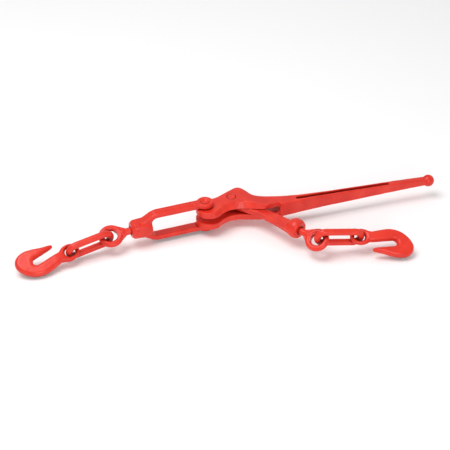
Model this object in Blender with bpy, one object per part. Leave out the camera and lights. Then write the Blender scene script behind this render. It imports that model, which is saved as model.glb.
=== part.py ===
"""Lever load binder: a forged yoke and lever joined over centre by a toggle, with a swivel eye,
a connecting link and a grab hook at each end.

The binder lies open on its side, so its pivot axes point up. Every piece is modelled in its own
local frame, in metres, and hangs under an empty whose origin and axes are those of its joint.
"""

import math

import bmesh
import bpy
from mathutils import Matrix, Vector

MM = 0.001
UP = Vector((0.0, 0.0, 1.0))

# Clearances between neighbouring pieces
RUNNING_GAP = 0.35 * MM
CHEEK_GAP = 0.7 * MM

# Place of the lever's pivot, which centres the whole on the origin and stands it on z = 0
PIVOT_X = -48.98 * MM
PIVOT_Y = 14.52 * MM
MID_HEIGHT = 33.76 * MM

# Attitude of the open binder, in plan degrees from +X
YOKE_ANGLE = 201.0
LEVER_ANGLE = 14.8
TOGGLE_ANGLE = -33.3

# Yoke: two arms outside the lever head, closing on an end boss with a ball socket
YOKE_WIDTH = 55.0 * MM
ARM_THICKNESS = 9.5 * MM
ARM_DEPTH = 18.0 * MM
YOKE_LENGTH = 124.0 * MM
YOKE_CROTCH = 99.5 * MM
CROTCH_RADIUS = 10.0 * MM
YOKE_SHOULDER = 92.0 * MM
BOSS_HALF_HEIGHT = 14.8 * MM
BOSS_HALF_DEPTH = 15.0 * MM
BOSS_HALF_LENGTH = 12.5 * MM
PIVOT_BOSS_RADIUS = 14.8 * MM

# Lever: forked head, tapered handle with a groove in both faces, ball tip
LEVER_LENGTH = 419.0 * MM
HEAD_WIDTH = YOKE_WIDTH - 2.0 * ARM_THICKNESS - 2.0 * CHEEK_GAP
FORK_GAP = 12.0 * MM
FORK_END = 128.0 * MM
TIP_RADIUS = 11.0 * MM
GROOVE_START = 163.0 * MM
GROOVE_END = 342.0 * MM
GROOVE_WIDTH = 7.0 * MM
GROOVE_DEPTH = 3.0 * MM

# Pivot pins
RIVET_RADIUS = 7.0 * MM
RIVET_HEAD_RADIUS = 8.5 * MM
RIVET_HEAD = 2.5 * MM
PIN_RADIUS = 6.0 * MM
PIN_HEAD_RADIUS = 8.0 * MM
TOGGLE_PIN_DISTANCE = 55.0 * MM
TOGGLE_PIN_ANGLE = 18.2

# Toggle: arched bar between the cheeks, ending in a round socket
TOGGLE_LENGTH = 133.0 * MM
TOGGLE_THICKNESS = 11.0 * MM
TOGGLE_DEPTH = 15.0 * MM
TOGGLE_ARCH = 6.5 * MM
TOGGLE_FLARE = 8.5 * MM
TOGGLE_EYE_RADIUS = 13.0 * MM
SOCKET_RADIUS = 17.5 * MM
SOCKET_FACE = 9.8 * MM

# Swivel eyes: a ring on a shank whose round head turns in the socket
EYE_WIRE_RADIUS = 5.4 * MM
EYE_RING_LENGTH = 33.0 * MM
EYE_RING_WIDTH = 31.0 * MM
EYE_LENGTH = 48.0 * MM
HEAD_RADIUS = 9.5 * MM
SHANK_RADIUS = 6.2 * MM
MOUTH_RADIUS = 7.3 * MM

# Connecting links, measured on the wire's centre line
LINK_LENGTH = 77.0 * MM
LINK_WIDTH = 25.4 * MM
LINK_WIRE_RADIUS = 5.9 * MM
LINK_SEAT = 15.0 * MM

# Grab hooks for 10 mm (3/8 in) chain
HOOK_THICKNESS = 14.0 * MM
HOOK_SLOT_WIDTH = 12.0 * MM
HOOK_SLOT_SIDE = -11.4 * MM
HOOK_SLOT_END = 60.5 * MM
HOOK_EYE_THICKNESS = 9.8 * MM
HOOK_EYE_LENGTH = 38.0 * MM
HOOK_EYE_WIDTH = 31.0 * MM
HOOK_HOLE_LENGTH = 22.0 * MM
HOOK_HOLE_WIDTH = 17.0 * MM

# Rest attitude of each chain piece: plan angle, droop below level, lean of its face to the front
LEFT_EYE_POSE = (202.0, 4.0, 27.0)
LEFT_LINK_POSE = (207.5, 6.5, 106.0)
LEFT_HOOK_POSE = (219.5, 11.5, 27.0)
RIGHT_EYE_POSE = (-44.0, 1.5, 34.0)
RIGHT_LINK_POSE = (11.0, 7.0, 103.0)
RIGHT_HOOK_POSE = (11.5, 3.0, 27.0)

RED_PAINT = (0.80, 0.055, 0.035, 1.0)


# ---------------------------------------------------------------- scene and object helpers


def clear_scene():
    for item in list(bpy.data.objects):
        bpy.data.objects.remove(item, do_unlink=True)


def painted(name):
    """Each piece has its own coat of glossy red enamel."""
    material = bpy.data.materials.new(name + "_paint")
    material.use_nodes = True
    shader = material.node_tree.nodes["Principled BSDF"]
    shader.inputs["Base Color"].default_value = RED_PAINT
    shader.inputs["Roughness"].default_value = 0.34
    shader.inputs["Metallic"].default_value = 0.0
    return material


def empty(name, parent, matrix):
    item = bpy.data.objects.new(name, None)
    item.empty_display_size = 0.03
    bpy.context.collection.objects.link(item)
    item.parent = parent
    item.matrix_local = matrix
    return item


def add_mesh(name, bm):
    bmesh.ops.recalc_face_normals(bm, faces=bm.faces)
    mesh = bpy.data.meshes.new(name)
    bm.to_mesh(mesh)
    bm.free()
    item = bpy.data.objects.new(name, mesh)
    bpy.context.collection.objects.link(item)
    return item


def bake(item):
    """Replace an object's mesh by the result of its modifiers."""
    graph = bpy.context.evaluated_depsgraph_get()
    mesh = bpy.data.meshes.new_from_object(item.evaluated_get(graph))
    item.modifiers.clear()
    item.data = mesh


def combine(item, tool, operation):
    """Join, cut or intersect a solid with a tool that is used up."""
    step = item.modifiers.new(operation.lower(), "BOOLEAN")
    step.object = tool
    step.operation = operation
    step.solver = "EXACT"
    bake(item)
    bpy.data.objects.remove(tool, do_unlink=True)


def rounded(item, width, segments=2, angle=35.0):
    """Round a solid's edges the way a forging's are."""
    step = item.modifiers.new("rounding", "BEVEL")
    step.width = width
    step.segments = segments
    step.limit_method = "ANGLE"
    step.angle_limit = math.radians(angle)
    step.use_clamp_overlap = True
    bake(item)


def finish_piece(item, parent):
    mesh = item.data
    mesh.materials.clear()
    mesh.materials.append(painted(item.name))
    mesh.shade_smooth()
    mesh.set_sharp_from_angle(angle=math.radians(38.0))
    item.parent = parent
    return item


# ---------------------------------------------------------------- outlines and solids


def arc(centre, radius, start, end, count):
    """Points on an arc, both ends included, angles in degrees."""
    middle = Vector(centre)
    angles = [math.radians(start + (end - start) * i / (count - 1)) for i in range(count)]
    return [middle + radius * Vector((math.cos(a), math.sin(a))) for a in angles]


def oval(length, width, count, centre=0.0):
    """Points round an ellipse whose length lies along X."""
    angles = [2 * math.pi * i / count for i in range(count)]
    return [Vector((centre + length / 2 * math.cos(a), width / 2 * math.sin(a))) for a in angles]


def smooth_run(points, steps):
    """A Catmull-Rom curve through the points, ends included."""
    points = [Vector(p) for p in points]
    padded = [2 * points[0] - points[1]] + points + [2 * points[-1] - points[-2]]
    run = []
    for a, b, c, d in zip(padded, padded[1:], padded[2:], padded[3:]):
        for i in range(steps):
            t = i / steps
            bend = 2 * a - 5 * b + 4 * c - d
            twist = 3 * b - a - 3 * c + d
            run.append(0.5 * (2 * b + (c - a) * t + bend * t**2 + twist * t**3))
    run.append(points[-1])
    return run


def prism(name, outline, low, high, plane="XY"):
    """Extrude an outline between two heights across the XY or the XZ plane."""
    bm = bmesh.new()

    def place(p, level):
        if plane == "XY":
            return (p[0], p[1], level)
        return (p[0], level, p[1])

    bottom = [bm.verts.new(place(p, low)) for p in outline]
    top = [bm.verts.new(place(p, high)) for p in outline]
    bm.faces.new(bottom)
    bm.faces.new(top)
    for i in range(len(outline)):
        j = (i + 1) % len(outline)
        bm.faces.new((bottom[i], bottom[j], top[j], top[i]))
    return add_mesh(name, bm)


def turned(name, profile, sides, axis="Z"):
    """Turn a profile of (radius, station) pairs, closed by a cap or a point at each end."""
    bm = bmesh.new()

    def place(radius, station, angle):
        a = radius * math.cos(angle)
        b = radius * math.sin(angle)
        if axis == "Z":
            return (a, b, station)
        return (station, a, b)

    rings = []
    for radius, station in profile:
        if radius <= 0.0:
            rings.append([bm.verts.new(place(0.0, station, 0.0))])
        else:
            angles = [2 * math.pi * i / sides for i in range(sides)]
            rings.append([bm.verts.new(place(radius, station, a)) for a in angles])
    for near, far in zip(rings, rings[1:]):
        for i in range(sides):
            j = (i + 1) % sides
            corners = [near[i % len(near)], near[j % len(near)], far[j % len(far)], far[i % len(far)]]
            bm.faces.new(list(dict.fromkeys(corners)))
    for end in (rings[0], rings[-1]):
        if len(end) > 1:
            bm.faces.new(end)
    return add_mesh(name, bm)


def ball_profile(radius, centre=0.0, rings=10):
    """Half circle for turned(), pole to pole."""
    angles = [math.pi * i / rings for i in range(rings + 1)]
    belt = [(radius * math.sin(a), centre - radius * math.cos(a)) for a in angles[1:-1]]
    return [(0.0, centre - radius)] + belt + [(0.0, centre + radius)]


def wire_loop(name, path, radius, sides):
    """Sweep round wire along a flat closed path in the XY plane."""
    bm = bmesh.new()
    count = len(path)
    rings = []
    for i, point in enumerate(path):
        along = (path[(i + 1) % count] - path[i - 1]).normalized()
        out = Vector((along.y, -along.x))
        ring = []
        for k in range(sides):
            a = 2 * math.pi * (k + 0.5) / sides
            spot = point + out * radius * math.cos(a)
            ring.append(bm.verts.new((spot.x, spot.y, radius * math.sin(a))))
        rings.append(ring)
    for i in range(count):
        near = rings[i]
        far = rings[(i + 1) % count]
        for k in range(sides):
            m = (k + 1) % sides
            bm.faces.new((near[k], near[m], far[m], far[k]))
    return add_mesh(name, bm)


def moved(item, matrix):
    item.data.transform(matrix)
    return item


def plan(angle):
    return Matrix.Rotation(math.radians(angle), 4, "Z")


def attitude(pose):
    """Axes of a chain piece: X along it, Z out of its face, which leans towards the front."""
    angle, droop, lean = pose
    side = 1.0 if math.cos(math.radians(angle)) > 0 else -1.0
    return (
        plan(angle)
        @ Matrix.Rotation(math.radians(droop), 4, "Y")
        @ Matrix.Rotation(math.radians(lean * side), 4, "X")
    )


# ---------------------------------------------------------------- yoke


def make_yoke(parent):
    """U of two arms, seen from the side in XZ, with pivot bosses at the arm ends."""
    half = YOKE_WIDTH / 2
    inner = half - ARM_THICKNESS
    boss_start = YOKE_LENGTH - BOSS_HALF_LENGTH
    boss_end = YOKE_LENGTH + BOSS_HALF_LENGTH
    outer = [
        (0.0, half),
        (YOKE_SHOULDER, half),
        (YOKE_SHOULDER + 9.0 * MM, half - 3.5 * MM),
        (boss_start, BOSS_HALF_HEIGHT + 1.0 * MM),
        (boss_end - 4.0 * MM, BOSS_HALF_HEIGHT),
        (boss_end, BOSS_HALF_HEIGHT - 5.0 * MM),
    ]
    outline = outer + [(x, -z) for x, z in reversed(outer)]
    corner = YOKE_CROTCH - CROTCH_RADIUS
    crotch = arc((corner, CROTCH_RADIUS - inner), CROTCH_RADIUS, -90.0, 0.0, 6)
    crotch += arc((corner, inner - CROTCH_RADIUS), CROTCH_RADIUS, 0.0, 90.0, 6)
    outline += [(0.0, -inner)] + [tuple(p) for p in crotch] + [(0.0, inner)]
    yoke = prism("yoke", outline, -ARM_DEPTH / 2, ARM_DEPTH / 2, "XZ")
    rounded(yoke, 2.2 * MM)
    block = turned(
        "block",
        [
            (BOSS_HALF_DEPTH - 6.0 * MM, boss_start - 12.0 * MM),
            (BOSS_HALF_DEPTH, boss_start),
            (BOSS_HALF_DEPTH, boss_end - 5.0 * MM),
            (BOSS_HALF_DEPTH - 4.5 * MM, boss_end - 0.2 * MM),
        ],
        20,
        "X",
    )
    combine(yoke, block, "UNION")
    for side in (-1.0, 1.0):
        low, high = sorted((side * inner, side * (half + 0.4 * MM)))
        boss = turned("boss", [(PIVOT_BOSS_RADIUS, low), (PIVOT_BOSS_RADIUS, high)], 28)
        rounded(boss, 1.5 * MM)
        combine(yoke, boss, "UNION")
        hole = turned("hole", rivet_profile(side, RUNNING_GAP), 24)
        combine(yoke, hole, "DIFFERENCE")
    swivel = eye_axis_in_yoke()
    socket = moved(turned("socket", socket_profile(), 20, "X"), swivel)
    combine(yoke, socket, "DIFFERENCE")
    return finish_piece(yoke, parent)


def eye_axis_in_yoke():
    """The left eye's place in the yoke's frame."""
    turn = plan(YOKE_ANGLE).inverted() @ attitude(LEFT_EYE_POSE)
    return Matrix.Translation((YOKE_LENGTH, 0.0, 0.0)) @ turn


def socket_profile():
    """Round cavity for a swivel head and the flared mouth that its shank comes out of."""
    cavity = HEAD_RADIUS + RUNNING_GAP
    lip = math.sqrt(cavity**2 - MOUTH_RADIUS**2)
    angles = [math.radians(a) for a in range(20, 119, 14)]
    wall = [(cavity * math.sin(a), -cavity * math.cos(a)) for a in angles]
    return [(0.0, -cavity)] + wall + [(MOUTH_RADIUS, lip), (MOUTH_RADIUS + 2.4 * MM, 26.0 * MM)]


def rivet_profile(side, gap=0.0):
    """A pivot rivet through one arm and one cheek, headed in both."""
    outer = YOKE_WIDTH / 2 + 0.4 * MM
    inner = FORK_GAP / 2
    if gap:
        outer += 1.0 * MM
        inner -= 1.0 * MM
        levels = [
            (RIVET_HEAD_RADIUS + gap, inner),
            (RIVET_HEAD_RADIUS + gap, inner + 1.0 * MM),
            (RIVET_RADIUS + gap, inner + 1.0 * MM + RIVET_HEAD),
            (RIVET_RADIUS + gap, outer - 1.0 * MM - RIVET_HEAD),
            (RIVET_HEAD_RADIUS + gap, outer - 1.0 * MM),
            (RIVET_HEAD_RADIUS + gap, outer),
        ]
    else:
        levels = [
            (RIVET_HEAD_RADIUS - 1.0 * MM, inner + 0.2 * MM),
            (RIVET_HEAD_RADIUS - 0.2 * MM, inner + 0.5 * MM),
            (RIVET_RADIUS, inner + RIVET_HEAD),
            (RIVET_RADIUS, outer - RIVET_HEAD),
            (RIVET_HEAD_RADIUS - 0.2 * MM, outer - 0.5 * MM),
            (RIVET_HEAD_RADIUS - 1.2 * MM, outer + 0.6 * MM),
        ]
    return [(r, side * z) for r, z in levels]


def make_rivets(parent):
    for name, side in (("upper_pivot_rivet", 1.0), ("lower_pivot_rivet", -1.0)):
        finish_piece(turned(name, rivet_profile(side), 24), parent)


# ---------------------------------------------------------------- lever


def lever_outline():
    """The lever seen along its pivots: ears round the pivot, a hump over the toggle pin,
    an arch below it, then the long tapered handle."""
    ears = [
        (-7.0, -23.0),
        (-14.0, -13.5),
        (-16.5, -2.0),
        (-13.0, 10.0),
        (-4.0, 16.5),
        (10.0, 18.5),
    ]
    far_edge = [
        (25.0, 21.5),
        (40.0, 29.5),
        (54.0, 37.5),
        (67.0, 43.5),
        (75.0, 40.5),
        (82.0, 29.5),
        (88.5, 16.5),
        (99.0, 10.0),
        (116.0, 5.5),
        (150.0, 1.0),
        (210.0, -0.5),
        (280.0, 1.6),
        (345.0, 5.0),
        (411.0, 7.2),
    ]
    near_edge = [
        (411.0, -5.0),
        (345.0, -7.4),
        (280.0, -10.8),
        (210.0, -15.4),
        (150.0, -21.4),
        (122.0, -22.6),
        (101.0, -21.0),
        (80.0, -13.0),
        (56.0, -7.6),
        (40.0, -8.0),
        (29.0, -14.0),
        (18.0, -23.5),
        (6.0, -27.0),
    ]
    return [(x * MM, y * MM) for x, y in smooth_run(ears + far_edge, 3) + smooth_run(near_edge, 3)]


def lever_side():
    """The lever's width along its pivots: wide forked head, slimmer handle."""
    stations = [
        (-30.0, HEAD_WIDTH / MM),
        (84.0, HEAD_WIDTH / MM),
        (98.0, 31.6),
        (116.0, 30.0),
        (140.0, 28.0),
        (166.0, 26.0),
        (270.0, 22.0),
        (340.0, 17.5),
        (411.0, 13.0),
    ]
    top = [(x * MM, width * MM / 2) for x, width in stations]
    return top + [(x, -z) for x, z in reversed(top)]


def stadium(start, end, half_width, count=7):
    """Outline of a long hole with round ends along X."""
    left = arc((start + half_width, 0.0), half_width, 90.0, 270.0, count)
    right = arc((end - half_width, 0.0), half_width, -90.0, 90.0, count)
    return left + right


def handle_line():
    """The groove's frame: the handle leans away from the line between pivot and tip."""
    start = Vector((GROOVE_START, -10.0 * MM, 0.0))
    end = Vector((GROOVE_END, -2.0 * MM, 0.0))
    tilt = math.atan2(end.y - start.y, end.x - start.x)
    return Matrix.Translation(start) @ Matrix.Rotation(tilt, 4, "Z")


def make_lever(parent):
    lever = prism("lever", lever_outline(), -HEAD_WIDTH, HEAD_WIDTH)
    side = prism("side", lever_side(), -0.1, 0.1, "XZ")
    combine(lever, side, "INTERSECT")
    rounded(lever, 2.0 * MM)
    fork = FORK_GAP / 2
    slot_end = [tuple(p) for p in arc((FORK_END - fork, 0.0), fork, -90.0, 90.0, 7)]
    slot = [(-0.05, -fork)] + slot_end + [(-0.05, fork)]
    combine(lever, prism("slot", slot, -0.1, 0.1, "XZ"), "DIFFERENCE")
    groove = stadium(0.0, GROOVE_END - GROOVE_START, GROOVE_WIDTH / 2)
    for face in (-1.0, 1.0):
        floor = [(-0.01, 26.0 / 2 * MM - GROOVE_DEPTH), (0.2, 17.0 / 2 * MM - GROOVE_DEPTH)]
        pocket = prism("pocket", groove, -0.05, 0.05)
        band = prism("band", [(-0.01, 0.05), (0.2, 0.05)] + floor[::-1], -0.05, 0.05, "XZ")
        combine(pocket, band, "INTERSECT")
        moved(pocket, handle_line() @ Matrix.Rotation(0.0 if face > 0 else math.pi, 4, "X"))
        combine(lever, pocket, "DIFFERENCE")
    tip = turned("tip", ball_profile(TIP_RADIUS), 16, "X")
    moved(tip, Matrix.Translation((LEVER_LENGTH, 0.8 * MM, 0.0)))
    combine(lever, tip, "UNION")
    for face in (-1.0, 1.0):
        combine(lever, turned("hole", rivet_profile(face, RUNNING_GAP), 24), "DIFFERENCE")
    bore = turned("bore", toggle_pin_profile(RUNNING_GAP), 24)
    combine(lever, moved(bore, Matrix.Translation(toggle_pin_place())), "DIFFERENCE")
    return finish_piece(lever, parent)


def toggle_pin_place():
    angle = math.radians(TOGGLE_PIN_ANGLE)
    return Vector((TOGGLE_PIN_DISTANCE * math.cos(angle), TOGGLE_PIN_DISTANCE * math.sin(angle), 0.0))


def toggle_pin_profile(gap=0.0):
    """The toggle pin crosses both cheeks and is headed flush in each."""
    half = HEAD_WIDTH / 2
    if gap:
        return [
            (PIN_HEAD_RADIUS + gap, -half - 1.0 * MM),
            (PIN_HEAD_RADIUS + gap, -half),
            (PIN_RADIUS + gap, -half + RIVET_HEAD),
            (PIN_RADIUS + gap, half - RIVET_HEAD),
            (PIN_HEAD_RADIUS + gap, half),
            (PIN_HEAD_RADIUS + gap, half + 1.0 * MM),
        ]
    return [
        (PIN_HEAD_RADIUS - 0.2 * MM, -half),
        (PIN_RADIUS, -half + RIVET_HEAD),
        (PIN_RADIUS, half - RIVET_HEAD),
        (PIN_HEAD_RADIUS - 0.2 * MM, half),
    ]


# ---------------------------------------------------------------- toggle


def make_toggle(parent):
    """Arched bar from the toggle pin to the socket, local X running pin to socket."""
    count = 11
    upper = []
    lower = []
    for i in range(count):
        s = i / (count - 1)
        middle = Vector((s * (TOGGLE_LENGTH - 3.0 * MM), TOGGLE_ARCH * 4 * s * (1 - s)))
        slope = math.atan2(TOGGLE_ARCH * 4 * (1 - 2 * s), TOGGLE_LENGTH)
        across = Vector((-math.sin(slope), math.cos(slope)))
        half = TOGGLE_DEPTH / 2
        upper.append(middle + across * half)
        lower.append(middle - across * (half + TOGGLE_FLARE * s**3))
    toggle = prism("toggle", upper + lower[::-1], -TOGGLE_THICKNESS / 2, TOGGLE_THICKNESS / 2)
    eye = turned(
        "eye", [(TOGGLE_EYE_RADIUS, -TOGGLE_THICKNESS / 2), (TOGGLE_EYE_RADIUS, TOGGLE_THICKNESS / 2)], 28
    )
    combine(toggle, eye, "UNION")
    rounded(toggle, 1.6 * MM)
    turn = plan(TOGGLE_ANGLE).inverted() @ attitude(RIGHT_EYE_POSE)
    swivel = Matrix.Translation((TOGGLE_LENGTH, 0.0, 0.0)) @ turn
    ball = [p for p in ball_profile(SOCKET_RADIUS, rings=12) if p[1] < SOCKET_FACE - 1.0 * MM]
    face_radius = math.sqrt(SOCKET_RADIUS**2 - SOCKET_FACE**2)
    ball += [(face_radius, SOCKET_FACE)]
    combine(toggle, moved(turned("ball", ball, 24, "X"), swivel), "UNION")
    combine(toggle, moved(turned("socket", socket_profile(), 20, "X"), swivel), "DIFFERENCE")
    bore = turned("bore", [(PIN_RADIUS + RUNNING_GAP, -0.02), (PIN_RADIUS + RUNNING_GAP, 0.02)], 24)
    combine(toggle, bore, "DIFFERENCE")
    return finish_piece(toggle, parent)


# ---------------------------------------------------------------- chain pieces


def make_eye(name, parent):
    """Round head, shank and ring in one forging; the origin is the head's centre."""
    path = oval(EYE_RING_LENGTH, EYE_RING_WIDTH, 24, EYE_LENGTH)
    eye = wire_loop(name, path, EYE_WIRE_RADIUS, 12)
    head = [p for p in ball_profile(HEAD_RADIUS) if p[1] < 6.0 * MM]
    ring_start = EYE_LENGTH - EYE_RING_LENGTH / 2
    shank = head + [
        (SHANK_RADIUS, 7.4 * MM),
        (SHANK_RADIUS, ring_start - 8.0 * MM),
        (SHANK_RADIUS + 1.2 * MM, ring_start - 2.0 * MM),
        (4.0 * MM, ring_start + 3.0 * MM),
    ]
    combine(eye, turned("shank", shank, 16, "X"), "UNION")
    reach = EYE_RING_WIDTH * 0.42
    web = [
        (ring_start - 9.0 * MM, -SHANK_RADIUS + 1.0 * MM),
        (EYE_LENGTH - 9.0 * MM, -reach),
        (EYE_LENGTH - 9.0 * MM, reach),
        (ring_start - 9.0 * MM, SHANK_RADIUS - 1.0 * MM),
    ]
    gusset = prism("gusset", web, -EYE_WIRE_RADIUS * 0.8, EYE_WIRE_RADIUS * 0.8)
    bar = 2 * EYE_WIRE_RADIUS - 0.6 * MM
    hole = prism("hole", oval(EYE_RING_LENGTH - bar, EYE_RING_WIDTH - bar, 24, EYE_LENGTH), -0.02, 0.02)
    combine(gusset, hole, "DIFFERENCE")
    combine(eye, gusset, "UNION")
    return finish_piece(eye, parent)


def make_link(name, parent):
    """Long round-wire link; the origin is the wire's centre at its near end."""
    half = LINK_WIDTH / 2
    near = arc((half, 0.0), half, 90.0, 270.0, 11)
    far = arc((LINK_LENGTH - half, 0.0), half, -90.0, 90.0, 11)
    return finish_piece(wire_loop(name, near + far, LINK_WIRE_RADIUS, 12), parent)


def hook_outline():
    """The hook seen square to its face, its shank along X and its slot opening to the eye."""
    inner_side = HOOK_SLOT_SIDE - HOOK_SLOT_WIDTH
    back = [
        (20.0, 7.8),
        (35.0, 9.4),
        (50.0, 10.2),
        (63.0, 7.4),
        (75.0, 0.2),
        (84.5, -11.5),
        (89.0, -25.5),
        (85.0, -37.5),
        (75.0, -44.3),
        (62.0, -45.2),
        (48.0, -41.2),
        (34.0, -34.6),
        (21.0, -29.6),
    ]
    tip = [(17.2, -27.6), (16.9, -25.2), (19.0, -23.6), (23.0, inner_side / MM)]
    angles = [math.radians(a) for a in range(315, 44, -15)]
    eye = [Vector((HOOK_EYE_LENGTH / 2 * math.cos(a), HOOK_EYE_WIDTH / 2 * math.sin(a))) for a in angles]
    radius = HOOK_SLOT_WIDTH / 2
    slot_end = arc((HOOK_SLOT_END - radius, HOOK_SLOT_SIDE - radius), radius, 270.0, 450.0, 9)
    shank = [Vector((22.0 * MM, HOOK_SLOT_SIDE))]
    body = smooth_run([(x * MM, y * MM) for x, y in back], 2)
    point = [Vector((x * MM, y * MM)) for x, y in tip]
    return eye + body + point + slot_end + shank


def make_hook(name, parent):
    """Grab hook; the origin is the centre of its eye."""
    half = HOOK_THICKNESS / 2
    hook = prism(name, hook_outline(), -half, half)
    taper = [
        (-0.03, 0.02),
        (20.0 * MM, 0.02),
        (20.0 * MM, half),
        (4.0 * MM, HOOK_EYE_THICKNESS / 2),
        (-0.03, HOOK_EYE_THICKNESS / 2),
    ]
    for face in (-1.0, 1.0):
        relief = prism("relief", [(x, z * face) for x, z in taper], -0.05, 0.05, "XZ")
        combine(hook, relief, "DIFFERENCE")
    hole = prism("hole", oval(HOOK_HOLE_LENGTH, HOOK_HOLE_WIDTH, 20), -0.02, 0.02)
    combine(hook, hole, "DIFFERENCE")
    rounded(hook, 3.0 * MM, 3)
    return finish_piece(hook, parent)


def chain_places(anchor_place, poses):
    """World frames of an eye, of the link hung in its ring and of the hook hung in the link."""
    eye_turn, link_turn, hook_turn = (attitude(p) for p in poses)
    eye = Matrix.Translation(anchor_place) @ eye_turn
    ring_centre = eye @ Vector((EYE_LENGTH, 0.0, 0.0))
    ring_normal = eye_turn.to_3x3() @ UP
    along = link_turn.to_3x3() @ Vector((1.0, 0.0, 0.0))
    outward = (along - ring_normal * along.dot(ring_normal)).normalized()
    bar = ring_centre + outward * (EYE_RING_LENGTH + EYE_RING_WIDTH) / 4
    link = Matrix.Translation(bar - along * LINK_SEAT) @ link_turn
    hook = Matrix.Translation(link @ Vector((LINK_LENGTH, 0.0, 0.0))) @ hook_turn
    return eye, link, hook


def child_empty(name, parent, world):
    item = empty(name, parent, parent.matrix_world.inverted() @ world)
    bpy.context.view_layer.update()
    return item


def make_chain_end(side, anchor, poses):
    """Eye, link and hook in a row; each hangs under an empty placed on its own frame."""
    eye, link, hook = chain_places(anchor.matrix_world.translation, poses)
    eye_frame = child_empty(side + "_eye_frame", anchor, eye)
    link_frame = child_empty(side + "_link_frame", eye_frame, link)
    hook_frame = child_empty(side + "_hook_frame", link_frame, hook)
    make_eye(side + "_swivel_eye", eye_frame)
    make_link(side + "_connecting_link", link_frame)
    make_hook(side + "_grab_hook", hook_frame)


# ---------------------------------------------------------------- assembly


def build():
    clear_scene()
    binder = empty("binder", None, Matrix.Translation((PIVOT_X, PIVOT_Y, MID_HEIGHT)))
    yoke_frame = empty("yoke_frame", binder, plan(YOKE_ANGLE))
    lever_pivot = empty("lever_pivot", binder, plan(LEVER_ANGLE))
    turn = plan(TOGGLE_ANGLE - LEVER_ANGLE)
    toggle_pivot = empty("toggle_pivot", lever_pivot, Matrix.Translation(toggle_pin_place()) @ turn)
    yoke_socket = empty("yoke_socket", yoke_frame, Matrix.Translation((YOKE_LENGTH, 0.0, 0.0)))
    toggle_socket = empty("toggle_socket", toggle_pivot, Matrix.Translation((TOGGLE_LENGTH, 0.0, 0.0)))
    bpy.context.view_layer.update()
    make_yoke(yoke_frame)
    make_rivets(yoke_frame)
    make_lever(lever_pivot)
    pin = turned("toggle_pin", toggle_pin_profile(), 24)
    finish_piece(moved(pin, Matrix.Translation(toggle_pin_place())), lever_pivot)
    make_toggle(toggle_pivot)
    make_chain_end("left", yoke_socket, (LEFT_EYE_POSE, LEFT_LINK_POSE, LEFT_HOOK_POSE))
    make_chain_end("right", toggle_socket, (RIGHT_EYE_POSE, RIGHT_LINK_POSE, RIGHT_HOOK_POSE))
    bpy.context.view_layer.update()


build()
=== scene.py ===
import math

import bmesh
import bpy
import numpy as np
from mathutils import Matrix, Vector


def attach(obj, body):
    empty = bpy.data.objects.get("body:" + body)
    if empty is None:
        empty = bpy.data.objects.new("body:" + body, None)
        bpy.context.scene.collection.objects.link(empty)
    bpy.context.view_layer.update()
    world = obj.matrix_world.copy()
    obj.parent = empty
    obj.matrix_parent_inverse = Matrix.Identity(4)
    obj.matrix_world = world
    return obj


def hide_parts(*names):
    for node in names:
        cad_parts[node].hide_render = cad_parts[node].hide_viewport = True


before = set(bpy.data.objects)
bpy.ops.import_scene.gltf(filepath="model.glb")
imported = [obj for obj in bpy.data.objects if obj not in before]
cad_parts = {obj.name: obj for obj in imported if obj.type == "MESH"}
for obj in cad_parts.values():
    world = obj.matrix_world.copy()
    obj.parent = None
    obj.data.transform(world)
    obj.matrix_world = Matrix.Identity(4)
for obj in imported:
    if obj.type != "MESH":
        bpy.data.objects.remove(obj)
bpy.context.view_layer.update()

UP = Vector((0.0, 0.0, 1.0))

# The binder's own measures, in millimetres and degrees, as the CAD has them
PIVOT = Vector((-48.98, 14.52, 33.76))  # middle of the lever's pivot line, in the frame
YOKE_ANGLE = 201.0
LEVER_ANGLE = 14.8
TOGGLE_ANGLE = -33.3
YOKE_LENGTH = 124.0
ARM_OUTER = 27.5
ARM_INNER = 18.0
RIVET_RADIUS = 7.0
RIVET_HEAD = 8.5
HEAD_HALF = 17.3
FORK_HALF = 6.0
PIN_RADIUS = 6.0
PIN_HEAD = 7.9
TOGGLE_PIN = Vector((52.25, 17.18, 0.0))
TOGGLE_LENGTH = 133.0
EYE_LENGTH = 48.0
RING_LENGTH = 33.0
RING_WIDTH = 31.0
RING_WIRE = 5.4
LINK_LENGTH = 77.0
LINK_WIDTH = 25.4
LINK_WIRE = 5.9
LINK_SEAT = 15.0
HEAD_BALL = 9.5
SOCKET_BALL = 17.5
SOCKET_FACE = 9.8
# Heading, droop and lean of each side's eye, link and hook
POSES = {
    "left": ((202.0, 4.0, 27.0), (207.5, 6.5, 106.0), (219.5, 11.5, 27.0)),
    "right": ((-44.0, 1.5, 34.0), (11.0, 7.0, 103.0), (11.5, 3.0, 27.0)),
}

MILLIMETRE = 0.001
THROUGH = 40.0  # how far a cutter that goes right through reaches


# ---------------------------------------------------------------- frames


def plan(angle):
    return Matrix.Rotation(math.radians(angle), 4, "Z")


def attitude(pose):
    """X along the piece, Z out of its face, which leans towards the front."""
    angle, droop, lean = pose
    side = 1.0 if math.cos(math.radians(angle)) > 0 else -1.0
    turn = Matrix.Rotation(math.radians(droop), 4, "Y")
    return plan(angle) @ turn @ Matrix.Rotation(math.radians(lean * side), 4, "X")


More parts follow.
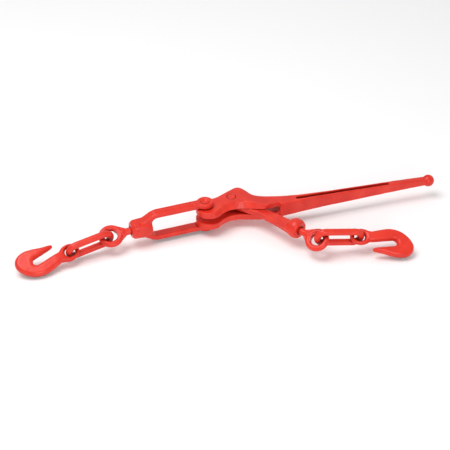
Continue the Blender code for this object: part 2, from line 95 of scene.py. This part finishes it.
def chain_places(anchor, poses):
    """World frames of an eye, of the link hung in its ring and of the hook hung in the link."""
    eye_turn, link_turn, hook_turn = (attitude(p) for p in poses)
    eye = Matrix.Translation(anchor) @ eye_turn
    ring_centre = eye @ Vector((EYE_LENGTH, 0.0, 0.0))
    ring_normal = eye_turn.to_3x3() @ UP
    along = link_turn.to_3x3() @ Vector((1.0, 0.0, 0.0))
    outward = (along - ring_normal * along.dot(ring_normal)).normalized()
    bar = ring_centre + outward * (RING_LENGTH + RING_WIDTH) / 4
    link = Matrix.Translation(bar - along * LINK_SEAT) @ link_turn
    hook = Matrix.Translation(link @ Vector((LINK_LENGTH, 0.0, 0.0))) @ hook_turn
    return eye, link, hook


yoke_place = Matrix.Translation(PIVOT) @ plan(YOKE_ANGLE)
lever_place = Matrix.Translation(PIVOT) @ plan(LEVER_ANGLE)
toggle_place = lever_place @ Matrix.Translation(TOGGLE_PIN) @ plan(TOGGLE_ANGLE - LEVER_ANGLE)
anchors = {
    "left": yoke_place @ Vector((YOKE_LENGTH, 0.0, 0.0)),
    "right": toggle_place @ Vector((TOGGLE_LENGTH, 0.0, 0.0)),
}


# ---------------------------------------------------------------- modelling helpers


def new_object(name, bm):
    bmesh.ops.recalc_face_normals(bm, faces=bm.faces)
    mesh = bpy.data.meshes.new(name)
    bm.to_mesh(mesh)
    bm.free()
    item = bpy.data.objects.new(name, mesh)
    bpy.context.scene.collection.objects.link(item)
    return item


def bake(item):
    graph = bpy.context.evaluated_depsgraph_get()
    mesh = bpy.data.meshes.new_from_object(item.evaluated_get(graph))
    item.modifiers.clear()
    item.data = mesh
    return item


def combine(item, tool, operation):
    """Add, cut or intersect a piece with a tool, which is used up."""
    step = item.modifiers.new("step", "BOOLEAN")
    step.object = tool
    step.operation = operation
    step.solver = "EXACT"
    bake(item)
    bpy.data.objects.remove(tool, do_unlink=True)


def rounded(item, width, segments=3):
    """Round every edge sharper than 35 degrees."""
    step = item.modifiers.new("step", "BEVEL")
    step.width = width
    step.segments = segments
    step.limit_method = "ANGLE"
    step.angle_limit = math.radians(35.0)
    step.use_clamp_overlap = True
    return bake(item)


def forged(item, voxel, passes):
    """Fuse a piece into one skin and soften it, so that every edge gets a forging's radius."""
    skin = item.modifiers.new("skin", "REMESH")
    skin.mode = "VOXEL"
    skin.voxel_size = voxel
    skin.adaptivity = 0.0
    bake(item)
    soft = item.modifiers.new("soft", "SMOOTH")
    soft.factor = 0.5
    soft.iterations = passes
    bake(item)


def moved(item, matrix):
    item.data.transform(matrix)
    return item


def arc(centre, radius, start, end, count):
    """Points along an arc between two angles in degrees."""
    middle = Vector(centre)
    angles = [math.radians(start + (end - start) * i / (count - 1)) for i in range(count)]
    return [middle + radius * Vector((math.cos(a), math.sin(a))) for a in angles]


def oval(length, width, count, centre=0.0):
    angles = [2 * math.pi * i / count for i in range(count)]
    return [Vector((centre + length / 2 * math.cos(a), width / 2 * math.sin(a))) for a in angles]


def stadium(start, end, half_width):
    """A slot's outline along X, round at both ends."""
    left = arc((start + half_width, 0.0), half_width, 90.0, 270.0, 13)
    return left + arc((end - half_width, 0.0), half_width, -90.0, 90.0, 13)


def smooth_run(points, steps):
    """A Catmull-Rom curve through the points, ends included."""
    points = [Vector(p) for p in points]
    padded = [2 * points[0] - points[1]] + points + [2 * points[-1] - points[-2]]
    run = []
    for a, b, c, d in zip(padded, padded[1:], padded[2:], padded[3:]):
        for i in range(steps):
            t = i / steps
            bend = 2 * a - 5 * b + 4 * c - d
            twist = 3 * b - a - 3 * c + d
            run.append(0.5 * (2 * b + (c - a) * t + bend * t**2 + twist * t**3))
    run.append(points[-1])
    return run


def stitch(bm, near, far):
    """Faces all round between two rings of corners, either of which may be a single point."""
    sides = max(len(near), len(far))
    for i in range(sides):
        j = (i + 1) % sides
        corners = [near[i % len(near)], near[j % len(near)], far[j % len(far)], far[i % len(far)]]
        bm.faces.new(list(dict.fromkeys(corners)))


def prism(outline, low, high, plane="XY"):
    """Extrude an outline between two heights across the XY or the XZ plane."""
    bm = bmesh.new()
    at = (lambda p, h: (p[0], p[1], h)) if plane == "XY" else (lambda p, h: (p[0], h, p[1]))
    bottom = [bm.verts.new(at(p, low)) for p in outline]
    top = [bm.verts.new(at(p, high)) for p in outline]
    bm.faces.new(bottom)
    bm.faces.new(top)
    stitch(bm, bottom, top)
    return new_object("prism", bm)


def turned(profile, sides, axis="Z"):
    """Turn a profile of (radius, station) pairs, closed by a cap or a point at each end."""
    bm = bmesh.new()
    rings = []
    for radius, station in profile:
        count = sides if radius > 0 else 1
        ring = []
        for i in range(count):
            a = radius * math.cos(2 * math.pi * i / sides)
            b = radius * math.sin(2 * math.pi * i / sides)
            ring.append(bm.verts.new((a, b, station) if axis == "Z" else (station, a, b)))
        rings.append(ring)
    for near, far in zip(rings, rings[1:]):
        stitch(bm, near, far)
    for end in (rings[0], rings[-1]):
        if len(end) > 1:
            bm.faces.new(end)
    return new_object("turned", bm)


def plug(radius, reach=THROUGH, sides=40):
    """A round cutter through the XY plane."""
    return turned([(radius, -reach), (radius, reach)], sides)


def ball(radius, rings=24):
    """Profile of a ball, for turned()."""
    angles = [math.pi * i / rings for i in range(1, rings)]
    belt = [(radius * math.sin(a), -radius * math.cos(a)) for a in angles]
    return [(0.0, -radius)] + belt + [(0.0, radius)]


def round_bar(path, radius, sides):
    """Sweep a round section along a closed path in the XY plane."""
    bm = bmesh.new()
    count = len(path)
    rings = []
    for i, point in enumerate(path):
        along = (path[(i + 1) % count] - path[i - 1]).normalized()
        out = Vector((along.y, -along.x))
        ring = []
        for k in range(sides):
            a = 2 * math.pi * k / sides
            spot = point + out * radius * math.cos(a)
            ring.append(bm.verts.new((spot.x, spot.y, radius * math.sin(a))))
        rings.append(ring)
    for near, far in zip(rings, rings[1:] + rings[:1]):
        stitch(bm, near, far)
    return new_object("bar", bm)


def underside(item):
    """Turn a piece made for the top over to the bottom."""
    return moved(item, Matrix.Rotation(math.pi, 4, "X"))


def uneven(item, strength, size, seed):
    """The slight waviness of hammered steel, in the mesh itself."""
    clouds = bpy.data.textures.new(item.name + "_waves", "CLOUDS")
    clouds.noise_scale = size
    clouds.noise_depth = 2
    anchor = bpy.data.objects.new("anchor", None)
    bpy.context.scene.collection.objects.link(anchor)
    anchor.location = (seed * 37.0, seed * 11.0, seed * 5.0)
    bpy.context.view_layer.update()
    step = item.modifiers.new("waves", "DISPLACE")
    step.texture = clouds
    step.strength = strength
    step.mid_level = 0.5
    step.texture_coords = "OBJECT"
    step.texture_coords_object = anchor
    bake(item)
    bpy.data.objects.remove(anchor, do_unlink=True)
    bpy.data.textures.remove(clouds)


# ---------------------------------------------------------------- paint


def enamel(name, seed):
    """Red enamel over forged steel: faint clouding, painted shade darkening the hollows, soft gloss and
    orange peel.
    """
    material = bpy.data.materials.new(name)
    material.use_nodes = True
    nodes = material.node_tree.nodes
    links = material.node_tree.links
    shader = nodes["Principled BSDF"]
    shader.inputs["Specular IOR Level"].default_value = 0.34
    shader.inputs["Coat Weight"].default_value = 0.16
    shader.inputs["Coat Roughness"].default_value = 0.22
    place = nodes.new("ShaderNodeTexCoord")
    shift = nodes.new("ShaderNodeMapping")
    shift.inputs["Location"].default_value = (seed * 0.31, seed * 0.17, seed * 0.23)
    links.new(place.outputs["Object"], shift.inputs["Vector"])

    def noise(scale, detail, rough=0.5):
        node = nodes.new("ShaderNodeTexNoise")
        node.inputs["Scale"].default_value = scale
        node.inputs["Detail"].default_value = detail
        node.inputs["Roughness"].default_value = rough
        links.new(shift.outputs["Vector"], node.inputs["Vector"])
        return node.outputs["Fac"]

    def ramp(source, stops):
        node = nodes.new("ShaderNodeValToRGB")
        node.color_ramp.elements[0].position, node.color_ramp.elements[0].color = stops[0]
        node.color_ramp.elements[1].position, node.color_ramp.elements[1].color = stops[-1]
        for position, colour in stops[1:-1]:
            node.color_ramp.elements.new(position).color = colour
        links.new(source, node.inputs["Fac"])
        return node.outputs["Color"]

    clouds = ramp(
        noise(38.0, 4.0, 0.55),
        [
            (0.30, (0.640, 0.021, 0.010, 1.0)),
            (0.52, (0.735, 0.028, 0.013, 1.0)),
            (0.74, (0.790, 0.044, 0.020, 1.0)),
        ],
    )
    # Painted shade: ambient occlusion darkens the base colour in hollows, gaps and creases, multiplied
    # over the clouding
    hollow = nodes.new("ShaderNodeAmbientOcclusion")
    hollow.samples = 8
    hollow.inputs["Distance"].default_value = 0.014
    shade_stops = [(0.25, (0.34, 0.22, 0.22, 1.0)), (0.72, (1.0, 1.0, 1.0, 1.0))]
    shade = ramp(hollow.outputs["AO"], shade_stops)
    painted_shade_mix = nodes.new("ShaderNodeMix")
    painted_shade_mix.data_type = "RGBA"
    painted_shade_mix.blend_type = "MULTIPLY"
    painted_shade_mix.inputs["Factor"].default_value = 1.0
    links.new(clouds, painted_shade_mix.inputs[6])
    links.new(shade, painted_shade_mix.inputs[7])
    links.new(painted_shade_mix.outputs[2], shader.inputs["Base Color"])
    gloss_stops = [(0.3, (0.26, 0.26, 0.26, 1.0)), (0.7, (0.40, 0.40, 0.40, 1.0))]
    gloss = ramp(noise(90.0, 5.0, 0.6), gloss_stops)
    links.new(gloss, shader.inputs["Roughness"])
    peel = nodes.new("ShaderNodeBump")
    peel.inputs["Strength"].default_value = 0.10
    peel.inputs["Distance"].default_value = 0.0006
    links.new(noise(420.0, 3.0, 0.6), peel.inputs["Height"])
    dents = nodes.new("ShaderNodeBump")
    dents.inputs["Strength"].default_value = 0.22
    dents.inputs["Distance"].default_value = 0.0012
    links.new(noise(75.0, 3.0, 0.5), dents.inputs["Height"])
    links.new(peel.outputs["Normal"], dents.inputs["Normal"])
    links.new(dents.outputs["Normal"], shader.inputs["Normal"])
    return material


placed = []


def finish(item, name, place, body, *nodes):
    """Put a piece, modelled in millimetres in its own frame, in its place on its body."""
    item.name = name
    item.data.name = name
    item.data.transform(place)
    item.data.transform(Matrix.Scale(MILLIMETRE, 4))
    item.data.shade_smooth()
    item.data.materials.clear()
    item.data.materials.append(enamel(name + "_enamel", len(placed) + 1.0))
    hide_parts(*nodes)
    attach(item, body)
    placed.append(item)


# ---------------------------------------------------------------- sockets and rivets


def socket_cut():
    """Round cavity for a swivel head and its flared mouth."""
    cavity = HEAD_BALL + 0.35
    mouth = 7.4
    lip = math.sqrt(cavity**2 - mouth**2)
    angles = [math.radians(a) for a in range(12, 127, 6)]
    wall = [(cavity * math.sin(a), -cavity * math.cos(a)) for a in angles]
    return turned([(0.0, -cavity)] + wall + [(mouth, lip), (mouth + 2.6, 26.0)], 40, "X")


def rivet(low, high, radius, head, dish, plain_foot):
    """A pin with a round-edged, dished head, a little proud, at the top or at both ends."""
    half = (high - low) / 2
    middle = (high + low) / 2

    def end(sign):
        face = half
        points = [
            (radius, face - 2.6),
            (head - 0.25, face - 0.6),
            (head - 0.55, face + 0.2),
            (head - 1.3, face + 0.6),
            (head - 2.1, face + 0.45),
            (head - 2.8, face - 0.26 * dish),
            (head - 3.6, face - 0.84 * dish),
            (0.9, face - dish),
        ]
        return [(r, middle + sign * z) for r, z in points]

    floor = half - dish
    if plain_foot:
        foot = [(0.0, low), (radius - 0.6, low), (radius, low + 0.6)]
    else:
        foot = [(0.0, middle - floor)] + end(-1.0)[::-1]
    return foot + end(1.0) + [(0.0, middle + floor)]


# ---------------------------------------------------------------- yoke


YOKE_DEPTH_HALF = 9.0
BOSS_HALF = 14.4
EYE_RADIUS = 14.8
RIB_TOP = 27.1
BOSS_PROFILE = [(10.0, 92.0), (14.0, 100.0), (16.4, 109.0), (16.6, 124.0), (16.0, 131.5), (13.0, 136.3)]


def yoke_blank():
    """The flat U that both arms and the neck are cut from."""
    outer = [
        (0.0, ARM_OUTER),
        (90.0, ARM_OUTER),
        (99.0, ARM_OUTER - 2.6),
        (113.0, 16.6),
        (132.0, 15.2),
        (136.3, 11.0),
    ]
    outline = outer + [(x, -z) for x, z in reversed(outer)]
    outline += [(0.0, -ARM_INNER)] + crotch() + [(0.0, ARM_INNER)]
    return rounded(prism(outline, -YOKE_DEPTH_HALF, YOKE_DEPTH_HALF, "XZ"), 2.0)


def crotch():
    """Where the opening between the arms ends: two rounded corners."""
    low = arc((89.5, -8.0), 10.0, -90.0, 0.0, 10)
    high = arc((89.5, 8.0), 10.0, 0.0, 90.0, 10)
    return [tuple(p) for p in low + high]


def add_boss(yoke):
    """The swivel's boss, round with four flats."""
    boss = turned(BOSS_PROFILE, 56, "X")
    flats = [(90.0, -BOSS_HALF), (140.0, -BOSS_HALF), (140.0, BOSS_HALF), (90.0, BOSS_HALF)]
    combine(boss, prism(flats, -BOSS_HALF, BOSS_HALF), "INTERSECT")
    combine(yoke, boss, "UNION")


def add_arm_ends(yoke):
    """Round eyes for the pivot rivets, and the low rib along each arm's outer face."""
    for sign in (-1.0, 1.0):
        low, high = sorted((sign * ARM_INNER, sign * (ARM_OUTER + 0.2)))
        combine(yoke, rounded(turned([(EYE_RADIUS, low), (EYE_RADIUS, high)], 56), 1.8), "UNION")
        rib = prism(stadium(17.0, 96.0, 2.4), 0.0, 0.9)
        moved(rib, Matrix.Translation((0.0, 0.0, RIB_TOP)))
        if sign < 0:
            underside(rib)
        combine(yoke, rib, "UNION")


def add_boss_marks(yoke):
    """A plain raised pad and a dimple on the boss, in front and again behind."""
    pad_tilt = Matrix.Rotation(math.radians(-32.0), 4, "X")
    for half_turn in (0.0, math.pi):
        around = Matrix.Rotation(half_turn, 4, "X")
        corners = [(122.5, -3.7), (133.0, -3.7), (133.0, 3.7), (122.5, 3.7)]
        pad = rounded(prism(corners, 8.0, 18.4), 0.6, 2)
        combine(yoke, moved(pad, around @ pad_tilt), "UNION")
        dimple = moved(turned(ball(4.4, 12), 24), Matrix.Translation((126.5, 16.9, 4.6)))
        combine(yoke, moved(dimple, around), "DIFFERENCE")


def cut_arm_lines(yoke):
    """Two shallow lengthwise grooves beside each rib."""
    for sign in (-1.0, 1.0):
        for spread in (-1.0, 1.0):
            line = prism(stadium(20.0, 94.0, 1.4), 0.0, 2.0)
            moved(line, Matrix.Translation((0.0, spread * 4.3, RIB_TOP - 0.6)))
            if sign < 0:
                underside(line)
            combine(yoke, line, "DIFFERENCE")


def cut_yoke_bores(yoke):
    """The swivel's socket, the rivets' bore and the seats of their heads."""
    swivel = Matrix.Translation((YOKE_LENGTH, 0.0, 0.0)) @ plan(-YOKE_ANGLE)
    combine(yoke, moved(socket_cut(), swivel @ attitude(POSES["left"][0])), "DIFFERENCE")
    combine(yoke, plug(RIVET_RADIUS + 0.35), "DIFFERENCE")
    for sign in (-1.0, 1.0):
        low, high = sorted((sign * (ARM_OUTER - 0.6), sign * THROUGH))
        seat = turned([(RIVET_HEAD + 0.4, low), (RIVET_HEAD + 0.4, high)], 40)
        combine(yoke, seat, "DIFFERENCE")


def make_yoke():
    yoke = yoke_blank()
    add_boss(yoke)
    add_arm_ends(yoke)
    opening = [(30.0, -ARM_INNER)] + crotch() + [(30.0, ARM_INNER)]
    combine(yoke, prism(opening, -THROUGH, THROUGH, "XZ"), "DIFFERENCE")
    forged(yoke, 1.0, 4)
    add_boss_marks(yoke)
    cut_arm_lines(yoke)
    cut_yoke_bores(yoke)
    forged(yoke, 0.62, 3)
    uneven(yoke, 0.28, 16.0, 1)
    finish(yoke, "yoke_forging", yoke_place, "yoke", "yoke")


def make_rivets():
    for name, sign in (("upper_pivot_rivet", 1.0), ("lower_pivot_rivet", -1.0)):
        profile = rivet(FORK_HALF + 0.6, ARM_OUTER + 0.5, RIVET_RADIUS, RIVET_HEAD, 1.9, True)
        item = turned(profile, 64)
        if sign < 0:
            underside(item)
        finish(item, name + "_head", yoke_place, "yoke", name)
    face = HEAD_HALF - 0.6
    item = turned(rivet(-face, face, PIN_RADIUS, PIN_HEAD, -0.4, False), 64)
    moved(item, Matrix.Translation(TOGGLE_PIN))
    finish(item, "toggle_pin_head", lever_place, "lever", "toggle_pin")


# ---------------------------------------------------------------- lever


# The lever seen from above, station by station: round the pivot, along the far edge with its hump
# over the toggle's pin, and back along the near edge
EARS = [(-7.0, -23.0), (-14.0, -13.5), (-16.5, -2.0), (-13.0, 10.0), (-4.0, 16.5), (10.0, 18.5)]
FAR_EDGE = [
    (25.0, 21.5),
    (40.0, 29.5),
    (54.0, 37.5),
    (67.0, 43.5),
    (75.0, 40.5),
    (82.0, 29.5),
    (88.5, 16.5),
    (99.0, 10.0),
    (116.0, 5.5),
    (150.0, 1.0),
    (210.0, -0.5),
    (280.0, 1.6),
    (345.0, 5.0),
    (411.0, 7.2),
]
NEAR_EDGE = [
    (411.0, -5.0),
    (345.0, -7.4),
    (280.0, -10.8),
    (210.0, -15.4),
    (150.0, -21.6),
    (122.0, -23.4),
    (101.0, -22.4),
    (80.0, -14.6),
    (56.0, -8.8),
    (40.0, -10.4),
    (29.0, -16.2),
    (18.0, -24.4),
    (6.0, -27.6),
]
# Station, foot of the near wall at the fork's face, and the ridge line above it
DRAFT = [
    (5.0, -27.8, -27.8),
    (12.0, -26.9, -26.0),
    (18.0, -24.4, -20.5),
    (25.0, -19.2, -13.4),
    (33.0, -13.8, -6.6),
    (41.5, -10.0, -2.7),
    (56.0, -8.8, -0.3),
    (68.0, -10.4, -3.0),
    (81.5, -15.3, -8.3),
    (100.0, -22.2, -16.9),
    (126.0, -23.3, -22.6),
    (136.0, -22.8, -22.8),
]
# Station and whole height, from the head to the tip
SIDE = [
    (-30.0, 2 * HEAD_HALF),
    (84.0, 2 * HEAD_HALF),
    (98.0, 31.6),
    (116.0, 30.0),
    (140.0, 28.0),
    (166.0, 26.0),
    (270.0, 22.0),
    (340.0, 17.5),
    (411.0, 13.0),
]


GROOVE_START = Vector((163.0, -10.0, 0.0))
GROOVE_RUN = Vector((179.0, 8.0, 0.0))


def draft_cut():
    """What the drafted near wall of the upper cheek leaves off, from fork face to ridge line."""
    bm = bmesh.new()
    rise = 24.0
    outward = 30.0
    rows = []
    for x, foot, crest in DRAFT:
        lean = (crest - foot) / (HEAD_HALF - FORK_HALF) * rise
        corners = [(x, foot, FORK_HALF), (x, foot + lean, FORK_HALF + rise)]
        corners += [(x, foot - outward, FORK_HALF + rise), (x, foot - outward, FORK_HALF)]
        rows.append([bm.verts.new(v) for v in corners])
    for near, far in zip(rows, rows[1:]):
        stitch(bm, near, far)
    bm.faces.new(rows[0])
    bm.faces.new(rows[-1])
    return new_object("draft", bm)


def lever_blank():
    """Head and handle in one, with the ball at the tip."""
    outline = smooth_run(EARS + FAR_EDGE, 4) + smooth_run(NEAR_EDGE, 4)
    lever = prism(outline, -HEAD_HALF * 2, HEAD_HALF * 2)
    top = [(x, height / 2) for x, height in SIDE]
    band = prism(top + [(x, -z) for x, z in reversed(top)], -100.0, 100.0, "XZ")
    combine(lever, band, "INTERSECT")
    rounded(lever, 2.4)
    tip = moved(turned(ball(11.0), 40, "X"), Matrix.Translation((419.0, 0.8, 0.0)))
    combine(lever, tip, "UNION")
    return lever


def cut_fork(lever):
    """The slot between the cheeks and the recess in the near wall where it ends."""
    recess = [(100.0, -22.6), (131.0, -18.6), (131.0, -50.0), (100.0, -50.0)]
    combine(lever, prism(recess, -50.0, 50.0), "DIFFERENCE")
    end = [(128.0, -FORK_HALF), (131.0, -3.5), (131.0, 3.5), (128.0, FORK_HALF)]
    slot = [(-60.0, -FORK_HALF)] + end + [(-60.0, FORK_HALF)]
    combine(lever, prism(slot, -100.0, 100.0, "XZ"), "DIFFERENCE")


def cut_grooves(lever):
    """The long groove in the handle's upper face, and the same below."""
    run = GROOVE_RUN.x
    tilt = math.atan2(GROOVE_RUN.y, run)
    groove_place = Matrix.Translation(GROOVE_START) @ Matrix.Rotation(tilt, 4, "Z")
    above_floor = [(-10.0, 50.0), (200.0, 50.0), (200.0, 3.5), (-10.0, 5.5)]
    for face in (-1.0, 1.0):
        pocket = prism(stadium(0.0, run, 3.6), -50.0, 50.0)
        combine(pocket, prism(above_floor, -50.0, 50.0, "XZ"), "INTERSECT")
        moved(pocket, groove_place)
        if face < 0:
            moved(pocket, Matrix.Scale(-1.0, 4, UP))
            pocket.data.flip_normals()
        combine(lever, pocket, "DIFFERENCE")


def make_lever():
    lever = lever_blank()
    forged(lever, 1.0, 3)
    combine(lever, draft_cut(), "DIFFERENCE")
    cut_fork(lever)
    cut_grooves(lever)
    combine(lever, plug(RIVET_RADIUS + 0.9), "DIFFERENCE")
    combine(lever, moved(plug(PIN_HEAD + 0.4), Matrix.Translation(TOGGLE_PIN)), "DIFFERENCE")
    forged(lever, 0.8, 3)
    uneven(lever, 0.3, 18.0, 2)
    finish(lever, "lever_forging", lever_place, "lever", "lever")


# ---------------------------------------------------------------- toggle


BAR_ARCH = 6.5
BAR_HALF = 8.1
BAR_THICK_HALF = 5.5
FLARE_START = 0.36
FLARE = 9.2


def toggle_bar():
    """The arched bar, whose lower edge flares straight down towards the socket's ball."""
    count = 25
    upper = []
    lower = []
    for i in range(count):
        s = i / (count - 1)
        middle = Vector((s * (TOGGLE_LENGTH - 3.0), BAR_ARCH * 4 * s * (1 - s)))
        slope = math.atan2(BAR_ARCH * 4 * (1 - 2 * s), TOGGLE_LENGTH)
        across = Vector((-math.sin(slope), math.cos(slope)))
        flare = max(0.0, (s - FLARE_START) / (1 - FLARE_START))
        upper.append(middle + across * BAR_HALF)
        lower.append(middle - across * (BAR_HALF + FLARE * flare**1.1))
    return rounded(prism(upper + lower[::-1], -BAR_THICK_HALF, BAR_THICK_HALF), 1.8)


def make_toggle():
    toggle = toggle_bar()
    hub = rounded(turned([(13.0, -BAR_THICK_HALF), (13.0, BAR_THICK_HALF)], 56), 1.8)
    combine(toggle, hub, "UNION")
    turn = plan(-TOGGLE_ANGLE) @ attitude(POSES["right"][0])
    swivel = Matrix.Translation((TOGGLE_LENGTH, 0.0, 0.0)) @ turn
    profile = [p for p in ball(SOCKET_BALL, 30) if p[1] < SOCKET_FACE - 0.8]
    profile.append((math.sqrt(SOCKET_BALL**2 - SOCKET_FACE**2), SOCKET_FACE))
    combine(toggle, moved(turned(profile, 56, "X"), swivel), "UNION")
    forged(toggle, 0.9, 6)
    combine(toggle, moved(socket_cut(), swivel), "DIFFERENCE")
    combine(toggle, plug(PIN_RADIUS + 0.35, 20.0), "DIFFERENCE")
    forged(toggle, 0.6, 3)
    uneven(toggle, 0.25, 14.0, 3)
    finish(toggle, "toggle_forging", toggle_place, "toggle", "toggle")


# ---------------------------------------------------------------- chain ends


NECK_START = 2.0
NECK_LENGTH = 24.0
HOOK_HALF = 7.4
HOOK_EYE_HALF = 5.0


def make_eye(side, place):
    """Ring, shank and round swivel head, with a web that draws the ring out to the shank."""
    path = oval(RING_LENGTH, RING_WIDTH, 72, EYE_LENGTH)
    eye = round_bar(path, RING_WIRE, 28)
    head = [p for p in ball(HEAD_BALL) if p[1] < 6.2]
    ring_start = EYE_LENGTH - RING_LENGTH / 2
    shank = head + [
        (6.3, 7.6),
        (6.2, ring_start - 9.0),
        (7.0, ring_start - 3.0),
        (5.6, ring_start + 1.0),
        (4.0, ring_start + 3.5),
    ]
    combine(eye, turned(shank, 40, "X"), "UNION")
    web = [(ring_start - 12.0, 4.8), (EYE_LENGTH - 8.0, 18.2)]
    gusset = prism(web + [(x, -y) for x, y in reversed(web)], -4.2, 4.2)
    bar = 2 * RING_WIRE - 0.4
    hole = prism(oval(RING_LENGTH - bar, RING_WIDTH - bar, 48, EYE_LENGTH), -20.0, 20.0)
    combine(gusset, hole, "DIFFERENCE")
    combine(eye, gusset, "UNION")
    forged(eye, 0.5, 6)
    uneven(eye, 0.2, 9.0, 4 if side == "left" else 5)
    finish(eye, side + "_swivel_eye_forging", place, side + "_eye", side + "_swivel_eye")


def make_link(side, place):
    """A plain long link of round bar."""
    half = LINK_WIDTH / 2
    straight = LINK_LENGTH - LINK_WIDTH
    near = arc((half, 0.0), half, 90.0, 270.0, 25)
    far = arc((LINK_LENGTH - half, 0.0), half, -90.0, 90.0, 25)
    steps = 24
    low = [Vector((half + straight * i / steps, -half)) for i in range(1, steps)]
    high = [Vector((LINK_LENGTH - half - straight * i / steps, half)) for i in range(1, steps)]
    link = round_bar(near + low + far + high, LINK_WIRE, 32)
    uneven(link, 0.22, 10.0, 6 if side == "left" else 7)
    finish(link, side + "_link_bar", place, side + "_link", side + "_connecting_link")


def hook_outline():
    """Eye, back, bill and slot of a grab hook, seen on its flat."""
    back = [
        (20.0, 7.8),
        (35.0, 9.4),
        (50.0, 10.2),
        (63.0, 7.4),
        (75.0, 0.2),
        (84.5, -11.5),
        (89.0, -25.5),
        (85.0, -37.5),
        (75.0, -44.3),
        (62.0, -45.2),
        (48.0, -41.2),
        (34.0, -35.2),
        (21.5, -31.2),
    ]
    tip = [(17.4, -29.8), (15.6, -27.0), (16.8, -24.4), (21.0, -23.4)]
    angles = [math.radians(a) for a in range(315, 44, -6)]
    eye = [Vector((19.0 * math.cos(a), 15.5 * math.sin(a))) for a in angles]
    slot_end = arc((54.5, -17.4), 6.0, 270.0, 450.0, 21)
    return eye + smooth_run(back, 5) + [Vector(p) for p in tip] + slot_end + [Vector((22.0, -11.4))]


def crown(item, outlines, half, eye_half, radius):
    """Give a flat plate a rounded section: the height falls off towards every outline.

    The plate thins from half to eye_half between its body and its eye.
    """
    starts = np.array([p for run in outlines for p in run], dtype=float)
    ends = np.array([p for run in outlines for p in run[1:] + run[:1]], dtype=float)
    along = ends - starts
    length2 = np.maximum((along**2).sum(1), 1e-9)
    for vert in item.data.vertices:
        spot = np.array(vert.co[:2])
        share = np.clip(((spot - starts) * along).sum(1) / length2, 0.0, 1.0)
        inset = math.sqrt((((starts + along * share[:, None]) - spot) ** 2).sum(1).min())
        neck = min(max((vert.co.x - NECK_START) / NECK_LENGTH, 0.0), 1.0)
        top = eye_half + (half - eye_half) * neck * neck * (3.0 - 2.0 * neck)
        height = top * math.sqrt(1.0 - (1.0 - min(inset / radius, 1.0)) ** 2)
        vert.co.z = math.copysign(min(abs(vert.co.z), height), vert.co.z)


def make_hook(side, place):
    outline = [tuple(p) for p in hook_outline()]
    hole = [tuple(p) for p in oval(18.4, 16.6, 48, -1.8)]
    hook = prism(outline, -HOOK_HALF, HOOK_HALF)
    combine(hook, prism(hole, -20.0, 20.0), "DIFFERENCE")
    forged(hook, 0.9, 2)
    crown(hook, (outline, hole), HOOK_HALF, HOOK_EYE_HALF, 6.0)
    forged(hook, 0.6, 6)
    uneven(hook, 0.3, 12.0, 8 if side == "left" else 9)
    finish(hook, side + "_grab_hook_forging", place, side + "_hook", side + "_grab_hook")


# ---------------------------------------------------------------- stage, light and camera


def make_stage():
    bm = bmesh.new()
    bmesh.ops.create_grid(bm, x_segments=1, y_segments=1, size=6.0)
    floor = new_object("floor", bm)
    floor.location.z = -0.0004
    material = bpy.data.materials.new("pale_floor")
    material.use_nodes = True
    shader = material.node_tree.nodes["Principled BSDF"]
    shader.inputs["Base Color"].default_value = (0.97, 0.97, 0.97, 1.0)
    shader.inputs["Roughness"].default_value = 0.9
    shader.inputs["Specular IOR Level"].default_value = 0.1
    floor.data.materials.append(material)


def area_light(name, spot, size, watts):
    """A round softbox that looks at the origin."""
    lamp = bpy.data.lights.new(name, "AREA")
    lamp.shape = "DISK"
    lamp.size = size
    lamp.energy = watts
    item = bpy.data.objects.new(name, lamp)
    bpy.context.scene.collection.objects.link(item)
    item.location = spot
    item.rotation_mode = "QUATERNION"
    item.rotation_quaternion = Vector(spot).to_track_quat("Z", "Y")


def make_light():
    world = bpy.data.worlds.new("studio")
    bpy.context.scene.world = world
    world.use_nodes = True
    world.node_tree.nodes["Background"].inputs["Color"].default_value = (1.0, 1.0, 1.0, 1.0)
    world.node_tree.nodes["Background"].inputs["Strength"].default_value = 0.58
    area_light("key", (-0.8, -0.2, 2.4), 1.7, 35.0)
    area_light("fill", (0.5, -2.0, 0.9), 1.2, 13.0)


VIEW_WIDTH = 0.788  # metres across the picture at the binder
AIM_RIGHT = 0.03502  # of the pivot
AIM_DOWN = 0.01926
LENS = 100.0
SENSOR = 36.0


def make_camera():
    """At the photograph's angle: straight from the front, 35 degrees above the floor."""
    elevation = math.radians(35.0)
    camera = bpy.data.cameras.new("camera")
    camera.lens = LENS
    camera.sensor_width = SENSOR
    camera.clip_end = 20.0
    item = bpy.data.objects.new("camera", camera)
    bpy.context.scene.collection.objects.link(item)
    up = Vector((0.0, math.sin(elevation), math.cos(elevation)))
    back = Vector((0.0, -math.cos(elevation), math.sin(elevation)))
    aim = PIVOT * MILLIMETRE + Vector((AIM_RIGHT, 0.0, 0.0)) - up * AIM_DOWN
    item.location = aim + back * (VIEW_WIDTH / SENSOR * LENS)
    item.rotation_mode = "QUATERNION"
    item.rotation_quaternion = back.to_track_quat("Z", "Y")
    bpy.context.scene.camera = item


bpy.context.scene.view_settings.view_transform = "Standard"
make_camera()
make_yoke()
make_rivets()
make_lever()
make_toggle()
for end in ("left", "right"):
    eye_place, link_place, hook_place = chain_places(anchors[end], POSES[end])
    make_eye(end, eye_place)
    make_link(end, link_place)
    make_hook(end, hook_place)
make_stage()
make_light()
